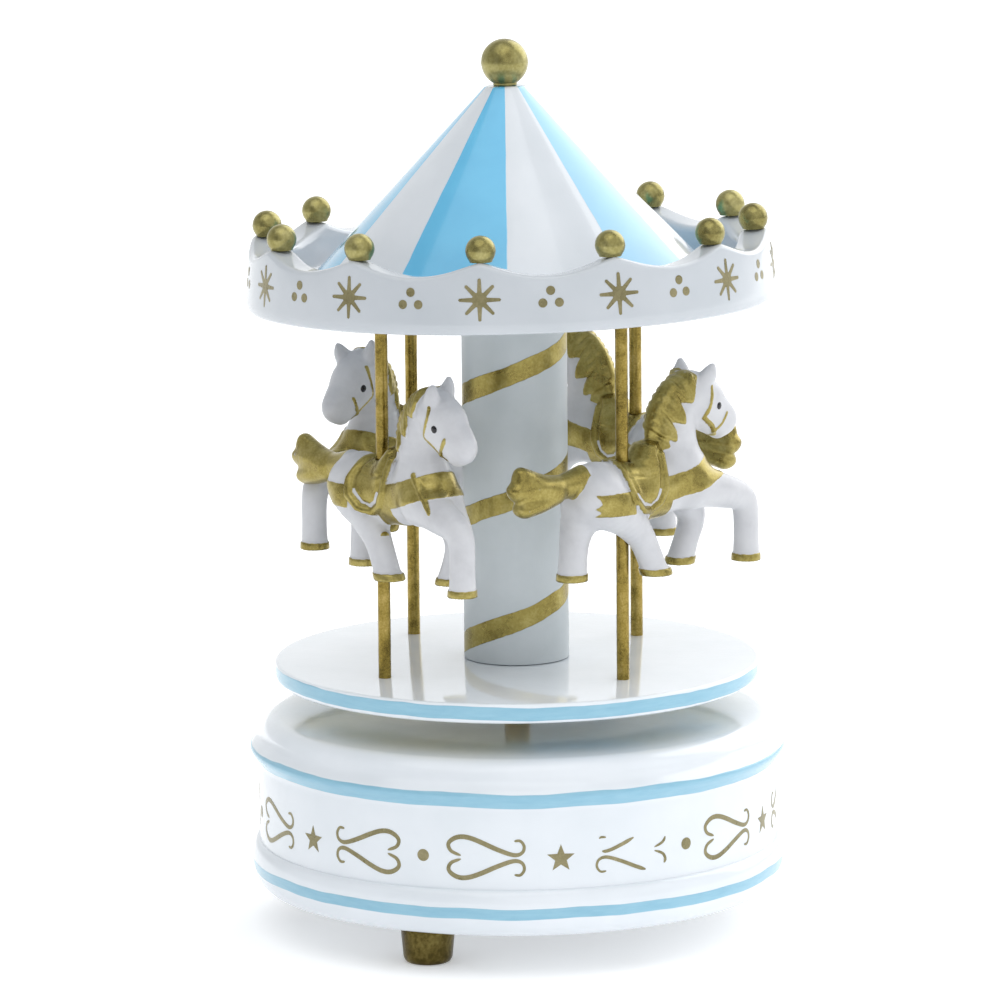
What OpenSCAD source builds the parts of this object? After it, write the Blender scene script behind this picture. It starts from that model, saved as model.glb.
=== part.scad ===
// Wind-up carousel music box: round base with a musical movement, and a turning
// carousel of four horses under a striped canopy. Z is up, the feet stand on z = 0,
// and the origin is on the axis of rotation. The front of the carousel faces -Y.

/* [Base] */
// Widest radius of the base, at the lip of its shoulder
base_r = 54; // [50:0.5:58]
// Radius of the straight wall of the base
wall_r = 52.1; // [49:0.1:53]
// Height of the feet below the base's lower edge
foot_h = 8.4; // [6:0.2:12]
// Height of the top of the base above the ground
base_top_z = 44; // [43.6:0.1:46]
// Thickness of the moulded walls
wall_t = 2.2; // [1.6:0.1:2.4]
// Radius of the circle that the feet stand on
foot_pitch_r = 39.8; // [36:0.1:42]

/* [Carousel] */
// Radius of the turntable
table_r = 48.6; // [46:0.2:50]
// Height of the turntable's top above the ground
table_z = 54.15; // [53:0.05:56]
// Depth of the turntable's rim
table_t = 4.1; // [3.4:0.1:4.6]
// Outer radius of the centre column
column_r = 10.55; // [9.5:0.05:11]
// Radius of a horse's pole
pole_r = 1.28; // [1:0.02:1.6]
// Radius of the circle that the poles stand on
pole_pitch_r = 32.3; // [30:0.1:34]
// Number of horses and poles
horse_count = 4; // [4]
// Direction of the first pole, to the right of the front
first_pole_deg = 40.4; // [0:0.1:89]

/* [Canopy] */
// Outer radius of the canopy rim
crown_r = 52.95; // [50:0.05:54]
// Height of the rim's lower edge above the ground
crown_z = 126.3; // [124:0.1:130]
// Height of the rim at its scallops' peaks, over its lower edge
crown_h = 14.2; // [12:0.1:16]
// Depth of each scallop
scallop_depth = 3.2; // [2:0.1:4]
// Number of scallops and of balls on the rim
ball_count = 12; // [12]
// Radius of a ball on the rim
ball_r = 2.97; // [2.4:0.01:3.4]
// Direction of the first ball, to the right of the front
first_ball_deg = -6.6; // [-15:0.1:15]
// Change of the roof's radius with height
roof_slope = 0.96; // [0.9:0.01:1]
// Radius of the finial ball
finial_r = 4.75; // [4:0.05:5.5]
// Lean of the canopy to the left, as the maker glued it
canopy_lean = 1.15; // [0:0.05:1.5]
// Lean of the canopy to the back
canopy_nod = 1; // [0:0.05:1.5]

/* [Movement] */
// Radius of the drive shaft, which also winds the spring
shaft_r = 2.55; // [2.2:0.05:2.8]
// Teeth of the great gear, on the drive shaft
great_teeth = 30; // [30]
// Teeth of the pinion on the cylinder's shaft
pinion_teeth = 12; // [12]
// Module of the great gear and its pinion
great_module = 0.7; // [0.7]
// Teeth of the gear at the cylinder's far end
train_teeth = 36; // [36]
// Teeth of the governor's pinion
governor_pinion_teeth = 10; // [10]
// Module of the cylinder's gear and the governor's pinion
train_module = 0.45; // [0.45]
// Teeth of the governor's wheel, which turns the worm
governor_teeth = 24; // [24]
// Module of the governor's wheel
governor_module = 0.5; // [0.5]
// Number of notes, and of teeth on the comb
notes = 18; // [12:1:18]
// Pins on the cylinder for each note
pins_per_note = 3; // [2:1:4]

/* [Hidden] */
$fn = 96;

// Play between a turning shaft and the hole that it runs in
run_fit = 0.05;
// Play between parts that are pushed or glued together
seat_fit = 0.03;

// Base heights
base_z = foot_h;
plate_z = base_z + 0.5;
plate_t = 2;
inner_top_z = base_top_z - wall_t;
inner_r = wall_r - wall_t;
foot_degs = [-27, 118, 232];
post_degs = [29, 149, 269];
post_pitch_r = 43;
post_r = 3.2;
plate_screw_r = 1.1;
foot_stem_r = 2.5;

// Movement heights: the bedplate hangs from the base's top, and the rest hangs below it
bed_z = 37;
bed_t = 2;
bed_x = [-15, 43.5];
bed_side_y = 22;
bed_r = 47;
cup_r = 12.5;
cup_z = 28.5;
cup_wall = 0.8;
bed_screws = [[-10, -16], [-10, 16], [37, -15], [26, 17]];
bed_screw_r = 1.15;

// Great gear: teeth on its lower face, over the cylinder's pinion
great_face_z = 26.4;
great_t = 1.5;
great_r = great_module * great_teeth / 2;
tooth_depth = 2 * great_module;
pinion_r = great_module * pinion_teeth / 2;
cyl_z = great_face_z - 0.8 - pinion_r;
cyl_shaft_r = 1.2;
pinion_x = great_r;
pinion_w = 1.8;

// Cylinder: it lies along +X from the drive shaft
drum_r = 6.5;
drum_x = 15.5;
drum_l = 18;
pin_h = 0.8;
pin_r = 0.25;
inner_bearing_x = 13.2;
bearing_t = 1.2;
train_x = 34.6;
train_w = 1.6;
train_r = train_module * train_teeth / 2;
outer_bearing_x = 37;

// Governor: an arbor along X beside the cylinder, and a worm that stands along Z
governor_pinion_r = train_module * governor_pinion_teeth / 2;
arbor_y = train_r + governor_pinion_r + 0.05;
arbor_r = 0.8;
wheel_x = 39;
wheel_w = 1;
wheel_r = governor_module * governor_teeth / 2;
worm_lead = PI * governor_module;
worm_core_r = 1.6;
worm_throw = 0.42;
worm_x = wheel_x + wheel_w / 2;
worm_y = arbor_y + wheel_r + worm_core_r + 0.2;
worm_turns = 5;
worm_z = cyl_z - worm_lead * worm_turns / 2;
worm_shaft_r = 0.7;
frame_x = 42;
lower_lug_z = 13;
upper_lug_z = 28.6;

// Comb: on the front side of the cylinder
comb_tip_y = -(drum_r + pin_h + 0.15);
comb_back_y = -23;
comb_root_y = -16.5;
comb_x = [15.4, 33.6];
comb_t = 1.2;
comb_z = cyl_z - comb_t / 2;
comb_pitch = 0.95;
comb_slot = 0.2;
comb_screw_xs = [19.6, 29.4];
comb_screw_y = -19.5;

// Turntable
table_web = 3.25;
table_rim_w = 2.2;
hub_z = table_z - table_web;
neck_r = 2;
socket_z = table_z - 2.75;
nut_h = 2.8;
spigot_h = 3;

// Canopy
crown_wall = 7.2;
crown_taper = 1.1;
ceiling_z = crown_z + 2.5;
ceiling_t = 2;
column_z = table_z + 0.15;
column_wall = 1.8;
gutter_z = ceiling_z + ceiling_t;
scallop_r = 28;
roof_top_z = 169.4;
roof_top_r = 4;
roof_hollow_z = 164;
roof_wall = 2.5;
roof_ring_r = 36.3;
finial_z = 174;
stud_r = 1.5;
ball_pitch_r = 48.7;
ball_z = crown_z + crown_h + 1.75;
canopy_x = -0.5;

// Horses: shift of each pole in X, turn of each horse from the direction of travel,
// and rise of each horse on its pole
pole_shifts = [0, 0, 0, -1.6];
horse_turns = [0, 3, 15.6, -3.4];
horse_lifts = [0.3, 2.3, 1.7, 0.6];

// Position at radius r and height z, in direction a to the right of the front
function spot(r, a, z = 0) = [r * sin(a), -r * cos(a), z];
// Points of an ellipse's arc about c, with half-axes h, from angle a0 to a1
function arc(c, h, a0, a1, n = 10) =
    [for (i = [0:n]) let (a = a0 + (a1 - a0) * i / n) c + [h[0] * cos(a), h[1] * sin(a)]];
function roof_r(z) = roof_top_r + roof_slope * (roof_top_z - z);
function pole_deg(k) = first_pole_deg + 360 * k / horse_count;
function ball_deg(k) = first_ball_deg + 360 * k / ball_count;
// Position of pole k at height z
function pole_spot(k, z) = spot(pole_pitch_r, pole_deg(k), z) + [pole_shifts[k], 0, 0];

// ---------------------------------------------------------------- helpers

// A tube or disc with outer radius r and bore b, from z0 to z1
module ring(r, b, z0, z1) {
    translate([0, 0, z0]) difference() {
        cylinder(r = r, h = z1 - z0);
        if (b > 0) translate([0, 0, -1]) cylinder(r = b, h = z1 - z0 + 2);
    }
}

// Lays a shape that stands along Z down along X, from x
module along_x(x, y = 0, z = cyl_z) {
    translate([x, y, z]) rotate([0, 90, 0]) rotate([0, 0, 90]) children();
}

// A screw that points up from z: a pan head below and a shank of radius r above
module screw(r, length, z) {
    translate([0, 0, z - 1.3]) difference() {
        cylinder(r = 2 * r, h = 1.3);
        translate([-r * 1.4, -0.25, -0.1]) cube([2.8 * r, 0.5, 0.6]);
    }
    translate([0, 0, z]) cylinder(r = r, h = length);
}

// Spur gear outline with straight-sided teeth, the first one along +X
module gear_outline(teeth, m, width = 0.38, add = 0.85, ded = 1.15) {
    r = m * teeth / 2;
    pitch = PI * m;
    union() {
        circle(r = r - ded * m);
        for (i = [0:teeth - 1]) rotate(360 * i / teeth) polygon([
            [r - ded * m - 0.3, -pitch * (width + 0.18) / 2],
            [r, -pitch * width / 2],
            [r + add * m, -pitch * width * 0.22],
            [r + add * m, pitch * width * 0.22],
            [r, pitch * width / 2],
            [r - ded * m - 0.3, pitch * (width + 0.18) / 2]]);
    }
}

// ---------------------------------------------------------------- base

module base_housing() {
    outer = concat(
        arc([wall_r - 2.1, base_z + 6.4], [3.7, 6.4], -90, 0),
        arc([wall_r, base_z + 6.4], [1.6, 3.2], 0, 90, 6),
        [[wall_r, 33.7], [base_r - 0.3, 36.4]],
        arc([base_r - 0.6, 37], [0.6, 0.7], -30, 70, 6),
        [[base_r - 2.1, 39]],
        arc([base_r - 6.4, base_top_z - 4.6], [3.9, 3.9], 0, 82, 9),
        arc([base_r - 19.3, base_top_z - 15], [43.4, 15], 72.5, 90, 5),
        [[0, base_top_z]]);
    inner = [[0, inner_top_z], [42, inner_top_z], [inner_r - 2, inner_top_z - 1.6],
             [inner_r, 36], [inner_r, base_z]];
    color("white") difference() {
        union() {
            rotate_extrude() polygon(concat(outer, inner));
            for (a = post_degs) translate(spot(post_pitch_r, a, plate_z + plate_t))
                cylinder(r = post_r, h = inner_top_z - plate_z - plate_t + 0.5);
            for (p = bed_screws) translate([p[0], p[1], bed_z + bed_t])
                cylinder(r = 3, h = inner_top_z - bed_z - bed_t + 0.5);
        }
        translate([0, 0, inner_top_z - 5]) cylinder(r = 4, h = 20);
        for (a = post_degs) translate(spot(post_pitch_r, a, plate_z)) cylinder(r = plate_screw_r, h = 14);
        for (p = bed_screws) translate([p[0], p[1], bed_z]) cylinder(r = bed_screw_r, h = 5.6);
    }
}

module base_plate() {
    color("whitesmoke") translate([0, 0, plate_z]) difference() {
        cylinder(r = inner_r - seat_fit, h = plate_t);
        for (a = post_degs) translate(spot(post_pitch_r, a, -1)) cylinder(r = plate_screw_r, h = 4);
        for (a = foot_degs) translate(spot(foot_pitch_r, a, -1)) cylinder(r = foot_stem_r + seat_fit, h = 4);
        for (i = [-2:2]) for (j = [-2:2]) translate([i * 5, j * 5, -1]) cylinder(r = 1.1, h = 4);
    }
}

module foot(k) {
    color("darkgoldenrod") translate(spot(foot_pitch_r, foot_degs[k])) {
        rotate_extrude() polygon(concat(
            [[0, 0]], arc([4.05, 0.8], [0.8, 0.8], -90, 0, 5),
            [[5.55, plate_z - 0.4], [5.2, plate_z], [0, plate_z]]));
        translate([0, 0, plate_z]) cylinder(r = foot_stem_r, h = plate_t + 1);
    }
}

module plate_screws() {
    color("silver") for (a = post_degs) translate(spot(post_pitch_r, a)) screw(plate_screw_r, 10, plate_z);
}

module shaft_bushing() {
    color("gold") {
        ring(4, shaft_r + run_fit, inner_top_z - 0.3, base_top_z + 0.1);
        ring(6, shaft_r + run_fit, inner_top_z - 1.5, inner_top_z - 0.02);
    }
}

// ---------------------------------------------------------------- movement, held by the base

module movement_bedplate() {
    color("silver") difference() {
        union() {
            intersection() {
                translate([bed_x[0], comb_back_y, bed_z])
                    cube([bed_x[1] - bed_x[0], bed_side_y - comb_back_y, bed_t]);
                translate([0, 0, bed_z]) cylinder(r = bed_r, h = bed_t);
            }
            translate([comb_x[0], comb_back_y, comb_z + comb_t])
                cube([comb_x[1] - comb_x[0], comb_root_y - comb_back_y - 0.1, bed_z - comb_z - comb_t + 0.5]);
        }
        translate([0, 0, bed_z - 1]) cylinder(r = 3.1, h = 4);
        for (p = bed_screws) translate([p[0], p[1], bed_z - 1]) cylinder(r = bed_screw_r, h = 4);
        for (x = comb_screw_xs) translate([x, comb_screw_y, comb_z]) cylinder(r = 0.9, h = 9);
    }
}

module movement_screws() {
    color("dimgray") for (p = bed_screws) translate([p[0], p[1], 0]) screw(bed_screw_r, 4.4, bed_z);
}

module spring_housing() {
    color("silver") {
        ring(cup_r, cup_r - cup_wall, cup_z, bed_z);
        ring(cup_r, shaft_r + 0.6, cup_z, cup_z + cup_wall);
    }
}

module mainspring() {
    turns = 6;
    steps = 20;
    strip = 0.35;
    function wind(i, t) = let (u = i / (turns * steps), r = shaft_r + 0.45 + u * (cup_r - cup_wall - shaft_r - 0.9) + t)
        [r * cos(360 * i / steps), r * sin(360 * i / steps)];
    color("slategray") translate([0, 0, cup_z + 1.6]) linear_extrude(bed_z - cup_z - 2.4)
        polygon(concat([for (i = [0:turns * steps]) wind(i, 0)],
                       [for (i = [turns * steps:-1:0]) wind(i, strip)]));
}

module comb() {
    width = notes * comb_pitch;
    x0 = drum_x + (drum_l - width) / 2;
    color("lightgray") translate([0, 0, comb_z]) linear_extrude(comb_t) difference() {
        polygon([[x0, comb_tip_y], [x0 + width, comb_tip_y], [x0 + width, comb_root_y],
                 [comb_x[1], comb_root_y], [comb_x[1], comb_back_y], [comb_x[0], comb_back_y],
                 [comb_x[0], comb_root_y],
                 [x0, comb_root_y]]);
        for (i = [1:notes - 1]) translate([x0 + i * comb_pitch - comb_slot / 2, comb_root_y - i * 0.12 + 2])
            square([comb_slot, 12]);
        for (x = comb_screw_xs) translate([x, comb_screw_y]) circle(r = 0.9);
    }
}

module comb_screws() {
    color("dimgray") for (x = comb_screw_xs) translate([x, comb_screw_y, 0]) screw(0.9, 8, comb_z);
}

// A bearing plate across X: it hangs from the bedplate, with holes at [y, r] for shafts
module bearing_plate(x, y0, y1, z0, holes) {
    color("silver") difference() {
        translate([x, y0, z0]) cube([bearing_t, y1 - y0, bed_z - z0]);
        for (h = holes) along_x(x - 1, h[0]) cylinder(r = h[1] + run_fit, h = bearing_t + 2);
    }
}

module cylinder_inner_bearing() { bearing_plate(inner_bearing_x, -4, 4, cyl_z - 4, [[0, cyl_shaft_r]]); }

module cylinder_outer_bearing() {
    bearing_plate(outer_bearing_x, -4, arbor_y + 3, cyl_z - 4, [[0, cyl_shaft_r], [arbor_y, arbor_r]]);
}

module governor_frame() {
    lug_x = worm_x - 2.6;
    color("silver") difference() {
        union() {
            translate([frame_x, arbor_y - 3.6, lower_lug_z])
                cube([bearing_t, worm_y + 2.4 - arbor_y + 3.6, upper_lug_z + bearing_t - lower_lug_z]);
            translate([frame_x, arbor_y - 3.6, upper_lug_z]) cube([bearing_t, 4.2, bed_z - upper_lug_z]);
            for (z = [lower_lug_z, upper_lug_z]) translate([lug_x, worm_y - 2.4, z])
                cube([frame_x - lug_x + 0.5, 4.8, bearing_t]);
            translate([outer_bearing_x + bearing_t + 0.3, arbor_y - 3.6, bed_z - bearing_t])
                cube([frame_x - outer_bearing_x - bearing_t, 4.2, bearing_t]);
        }
        along_x(frame_x - 1, arbor_y) cylinder(r = arbor_r + run_fit, h = 4);
        for (z = [lower_lug_z, upper_lug_z]) translate([worm_x, worm_y, z - 1])
            cylinder(r = worm_shaft_r + run_fit, h = 4);
    }
}

// ---------------------------------------------------------------- cylinder

module cylinder_drum() {
    color("goldenrod") difference() {
        along_x(drum_x) union() {
            cylinder(r = drum_r, h = drum_l);
            for (n = [0:notes - 1]) for (p = [0:pins_per_note - 1])
                translate([0, 0, drum_l / 2 + (n - (notes - 1) / 2) * comb_pitch])
                    rotate([0, 0, (n * 137.5 + p * 360 / pins_per_note + 23 * (n % 3) * p) % 360])
                        translate([drum_r - 0.6, 0, 0]) rotate([0, 90, 0]) cylinder(r = pin_r, h = pin_h + 0.6);
        }
        along_x(drum_x - 1) cylinder(r = cyl_shaft_r, h = drum_l + 2);
    }
}

module cylinder_shaft() {
    color("silver") along_x(pinion_x - pinion_w / 2 - 0.4)
        cylinder(r = cyl_shaft_r, h = outer_bearing_x + bearing_t + 0.4 - pinion_x + pinion_w / 2 + 0.4);
}

// A gear on a shaft along X, with its first tooth turned by phase
module gear_on_x(x, w, teeth, m, bore, phase, y = 0, width = 0.38) {
    along_x(x, y) linear_extrude(w) difference() {
        rotate(phase) gear_outline(teeth, m, width);
        circle(r = bore);
    }
}

// The pinion has a space at its top, where a tooth of the great gear hangs
module cylinder_pinion() {
    color("gold") gear_on_x(pinion_x - pinion_w / 2, pinion_w, pinion_teeth, great_module, cyl_shaft_r,
                            90 + 180 / pinion_teeth, 0, 0.36);
}

module cylinder_gear() {
    color("gold") gear_on_x(train_x, train_w, train_teeth, train_module, cyl_shaft_r, 0);
}

// ---------------------------------------------------------------- governor

// The wheel and the pinion are one piece on the arbor
module governor_wheel() {
    color("gold") {
        gear_on_x(train_x - 0.1, train_w + 0.2, governor_pinion_teeth, train_module, arbor_r,
                  180 + 180 / governor_pinion_teeth, arbor_y);
        gear_on_x(wheel_x, wheel_w, governor_teeth, governor_module, arbor_r, 0, arbor_y, 0.3);
    }
}

module governor_arbor() {
    color("silver") along_x(train_x - 0.3, arbor_y) cylinder(r = arbor_r, h = frame_x + bearing_t + 0.3 - train_x + 0.3);
}

// The thread of the worm is a round bar wound about the shaft
module governor_worm() {
    color("slategray") {
        translate([worm_x, worm_y, worm_z]) rotate([0, 0, 90 - 180 * worm_turns])
            linear_extrude(worm_lead * worm_turns, twist = -360 * worm_turns, slices = 12 * worm_turns, $fn = 16)
                translate([worm_throw, 0]) circle(r = worm_core_r, $fn = 16);
        translate([worm_x, worm_y, lower_lug_z - 0.2]) cylinder(r = worm_shaft_r, h = worm_z + 0.5 - lower_lug_z + 0.2);
        translate([worm_x, worm_y, worm_z + worm_lead * worm_turns - 0.5])
            cylinder(r = worm_shaft_r, h = upper_lug_z + 6 - worm_z - worm_lead * worm_turns);
    }
}

module air_brake() {
    color("gainsboro") translate([worm_x, worm_y, upper_lug_z + bearing_t + 0.6]) difference() {
        union() {
            cylinder(r = 1.4, h = 3.6);
            translate([-4, -0.35, 0]) cube([8, 0.7, 3.6]);
        }
        translate([0, 0, -1]) cylinder(r = worm_shaft_r, h = 6);
    }
}

// ---------------------------------------------------------------- carousel

module drive_shaft() {
    color("darkkhaki") {
        translate([0, 0, great_face_z]) cylinder(r = shaft_r, h = hub_z - great_face_z);
        translate([0, 0, hub_z]) cylinder(r = neck_r, h = table_z + nut_h + 0.8 - hub_z);
    }
}

module great_gear() {
    tooth_w = PI * great_module * 0.36;
    color("gold") {
        ring(great_r + 1.6, shaft_r, great_face_z, great_face_z + great_t);
        for (i = [0:great_teeth - 1]) rotate(360 * i / great_teeth)
            translate([great_r - 1, 0, great_face_z]) rotate([90, 0, 90]) linear_extrude(2) polygon([
                [-tooth_w * 0.75, 0.2], [-tooth_w * 0.75, 0], [-tooth_w / 2, -0.8], [-tooth_w * 0.22, -tooth_depth],
                [tooth_w * 0.22, -tooth_depth], [tooth_w / 2, -0.8], [tooth_w * 0.75, 0], [tooth_w * 0.75, 0.2]]);
    }
}

module turntable() {
    rim = [[0, table_z], [table_r - 0.5, table_z], [table_r, table_z - 0.4],
           [table_r, table_z - table_t + 1.2], [table_r - 0.5, table_z - table_t + 0.4],
           [table_r - 1.2, table_z - table_t], [table_r - table_rim_w, table_z - table_t],
           [table_r - table_rim_w, hub_z], [0, hub_z]];
    color("white") difference() {
        union() {
            rotate_extrude() polygon(rim);
            ring(column_r - column_wall - 0.02, column_r - column_wall - 1.6, table_z - 0.5, table_z + spigot_h);
        }
        translate([0, 0, hub_z - 1]) cylinder(r = neck_r, h = 10);
        for (k = [0:horse_count - 1]) translate(pole_spot(k, socket_z))
            cylinder(r = pole_r, h = 5);
    }
}

module turntable_nut() {
    color("silver") translate([0, 0, table_z]) difference() {
        cylinder(r = 4, h = nut_h, $fn = 6);
        translate([0, 0, -1]) cylinder(r = neck_r, h = nut_h + 2);
    }
}

module column() {
    color("whitesmoke") ring(column_r, column_r - column_wall, column_z, ceiling_z);
}

module pole(k) {
    color("darkkhaki") translate(pole_spot(k, socket_z))
        cylinder(r = pole_r, h = ceiling_z + 1 - socket_z);
}

// ---------------------------------------------------------------- canopy

// Turns and shifts a canopy part to the place where it sits, slightly askew
module askew() {
    translate([canopy_x, 0, crown_z]) rotate([-canopy_nod, -canopy_lean, 0]) translate([0, 0, -crown_z]) children();
}

// The collar about the column and the seats of the poles are upright; the rest is askew
module canopy_crown() {
    color("white") difference() {
        union() {
            askew() {
                translate([0, 0, crown_z]) rotate_extrude() polygon([
                    [crown_r - crown_wall, 0], [crown_r - 0.6, 0], [crown_r, 1.2],
                    [crown_r - crown_taper, crown_h], [crown_r - crown_wall, crown_h]]);
                ring(crown_r - 2, 0, ceiling_z, gutter_z);
                ring(roof_ring_r, roof_ring_r - 1.8, gutter_z - 0.5, gutter_z + 2);
            }
            ring(column_r + 1.8, column_r - 1, crown_z + 0.2, ceiling_z + 0.6);
            for (k = [0:horse_count - 1]) translate(pole_spot(k, crown_z + 0.2)) cylinder(r = 3.2, h = 3.1);
        }
        askew() for (k = [0:ball_count - 1]) {
            rotate([0, 0, first_ball_deg + 360 * (k + 0.5) / ball_count])
                translate([0, -crown_r + crown_wall + 4, crown_z + crown_h - scallop_depth + scallop_r])
                    rotate([90, 0, 0]) cylinder(r = scallop_r, h = crown_wall + 8);
            translate(spot(ball_pitch_r, ball_deg(k), ball_z)) sphere(r = ball_r);
        }
        for (k = [0:horse_count - 1]) translate(pole_spot(k, crown_z - 2))
            cylinder(r = pole_r, h = ceiling_z + 1 - crown_z + 2);
        translate([0, 0, crown_z - 2]) cylinder(r = column_r + seat_fit, h = ceiling_z - crown_z + 2);
    }
}

module roof_cone() {
    color("skyblue") askew() difference() {
        rotate_extrude() polygon([
            [0, gutter_z], [roof_r(gutter_z), gutter_z], [roof_top_r + 0.3, roof_top_z - 0.3],
            [roof_top_r - 0.2, roof_top_z], [0, roof_top_z]]);
        rotate_extrude() polygon([
            [0, gutter_z - 1], [roof_r(gutter_z) - roof_wall, gutter_z - 1], [roof_r(gutter_z) - roof_wall, gutter_z],
            [roof_r(roof_hollow_z) - roof_wall, roof_hollow_z], [0, roof_hollow_z]]);
        translate([0, 0, roof_hollow_z - 1]) cylinder(r = stud_r, h = 10);
    }
}

module finial() {
    color("darkgoldenrod") askew() {
        translate([0, 0, finial_z]) sphere(r = finial_r);
        translate([0, 0, roof_top_z]) cylinder(r = 2.4, h = 2);
        translate([0, 0, roof_hollow_z - 2]) cylinder(r = stud_r, h = roof_top_z - roof_hollow_z + 3);
    }
}

module rim_ball(k) {
    color("darkgoldenrod") askew() translate(spot(ball_pitch_r, ball_deg(k), ball_z)) sphere(r = ball_r);
}

// ---------------------------------------------------------------- horses

// A tapering rod of round ends between two spheres, given as [x, y, z, radius]
module limb(a, b) {
    hull() {
        translate([a[0], a[1], a[2]]) sphere(r = a[3], $fn = 10);
        translate([b[0], b[1], b[2]]) sphere(r = b[3], $fn = 10);
    }
}

// A chain of limbs through the given points
module chain(points) {
    for (i = [0:len(points) - 2]) limb(points[i], points[i + 1]);
}

// One galloping horse. It looks along +X, its pole is at the origin, and z is over the turntable.
module horse_shape() {
    difference() {
        union() {
            chain([[-9, 0, 38.5, 5.6], [4, 0, 37.6, 5.4], [15.6, 0, 38.4, 5.8]]);
            chain([[15.6, 0, 41, 5], [17.4, 0, 49, 3.9], [20.6, 0, 54, 3.3], [26.2, 0, 49.2, 2.3]]);
            chain([[15, 0, 56.5, 1.5], [10, 0, 53, 1.6], [8.5, 0, 47, 1.6]]);
            for (s = [-1, 1]) limb([20, s * 2, 56, 1], [20.4, s * 2.6, 59.6, 0.9]);
            chain([[-12, 0, 42, 1.8], [-19, 0, 40.5, 2.4], [-25, 0, 39.6, 3.2]]);
            chain([[17.6, -3, 37, 3.2], [29.8, -3.6, 34.2, 1.9], [30.6, -3.8, 22, 1.7]]);
            chain([[17.6, 3, 36.6, 3.2], [19.6, 3.6, 29, 2], [16, 3.8, 23, 1.7]]);
            chain([[-8, -2.8, 37, 3.8], [0, -3.6, 30.5, 2.4], [3, -3.8, 22, 1.7]]);
            chain([[-9, 2.8, 37, 3.8], [-9, 3.6, 29, 2.4], [-13, 3.8, 23, 1.7]]);
            chain([[-2, 0, 42.6, 3.6], [3, 0, 42, 3.2], [6, 0, 44, 2.6]]);
        }
        cylinder(r = pole_r + 0.06, h = 80, $fn = 24);
    }
}

module horse(k) {
    color("white") translate(pole_spot(k, table_z + horse_lifts[k]))
        rotate([0, 0, pole_deg(k) + horse_turns[k]]) horse_shape();
}

// ---------------------------------------------------------------- nodes

base_housing();
base_plate();
foot(0);  // foot_front
foot(1);  // foot_right
foot(2);  // foot_left
plate_screws();
shaft_bushing();
movement_bedplate();
movement_screws();
spring_housing();
mainspring();
comb();
comb_screws();
cylinder_inner_bearing();
cylinder_outer_bearing();
governor_frame();
cylinder_drum();
cylinder_shaft();
cylinder_pinion();
cylinder_gear();
governor_wheel();
governor_arbor();
governor_worm();
air_brake();
drive_shaft();
great_gear();
turntable();
turntable_nut();
column();
canopy_crown();
roof_cone();
finial();
for (k = [1:horse_count]) pole(k - 1);
for (k = [1:horse_count]) horse(k - 1);
for (k = [1:ball_count]) rim_ball(k - 1);
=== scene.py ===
"""Carousel music box: the visual model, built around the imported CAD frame.

Lengths in this script are in millimetres and become metres when a mesh is made. +Z is up, the
axis of rotation is x = y = 0, and azimuths are measured from the front (-Y) towards +X.
"""
import math

import bmesh
import bpy
import numpy as np
from mathutils import Matrix, Vector


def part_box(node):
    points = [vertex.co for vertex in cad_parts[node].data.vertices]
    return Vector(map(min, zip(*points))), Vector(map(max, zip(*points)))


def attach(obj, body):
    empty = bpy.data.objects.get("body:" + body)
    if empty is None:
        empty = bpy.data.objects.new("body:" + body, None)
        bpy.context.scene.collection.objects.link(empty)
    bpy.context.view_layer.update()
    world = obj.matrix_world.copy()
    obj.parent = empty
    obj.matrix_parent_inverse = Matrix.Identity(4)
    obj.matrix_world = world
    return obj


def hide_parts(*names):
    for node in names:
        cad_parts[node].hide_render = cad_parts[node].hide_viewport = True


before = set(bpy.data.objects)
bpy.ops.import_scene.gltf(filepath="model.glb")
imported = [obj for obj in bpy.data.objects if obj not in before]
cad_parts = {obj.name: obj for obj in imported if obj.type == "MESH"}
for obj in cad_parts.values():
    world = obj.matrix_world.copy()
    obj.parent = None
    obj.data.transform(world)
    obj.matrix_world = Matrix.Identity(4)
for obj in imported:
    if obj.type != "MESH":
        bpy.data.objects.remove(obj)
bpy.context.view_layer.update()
MM = 0.001
TAU = 2 * math.pi

# ---------------------------------------------------------------- places, from the frame


def low(node):
    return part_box(node)[0] / MM


def high(node):
    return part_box(node)[1] / MM


def centre(node):
    return (low(node) + high(node)) / 2


BASE_R = high("base_housing").x
BASE_TOP = high("base_housing").z
BASE_Z = low("base_housing").z
TABLE_R = high("turntable").x
TABLE_LOW = low("turntable").z
TABLE_Z = low("column").z - 0.15
COLUMN_R = high("column").x
COLUMN_TOP = high("column").z
POLE_R = (high("pole_1").x - low("pole_1").x) / 2
BALL_R = (high("rim_ball_1").z - low("rim_ball_1").z) / 2
FINIAL_R = (high("finial").x - low("finial").x) / 2
WALL_R = BASE_R - 1.9
SHAFT_NECK_R = 2.0


def canopy_place():
    """The canopy sits a little askew: its own frame (in mm), from the circle of its balls."""
    balls = np.array([centre(f"rim_ball_{k}") for k in range(1, 13)])
    middle = Vector(balls.mean(0))
    up = Vector(np.cross(balls - balls.mean(0), np.roll(balls, -1, 0) - balls.mean(0)).sum(0)).normalized()
    side = Vector((1, 0, 0)).cross(up).cross(up).normalized() * -1
    turn = Matrix((side, up.cross(side), up)).transposed().to_4x4()
    return Matrix.Translation(middle) @ turn @ Matrix.Translation((0, 0, -middle.z))


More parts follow.
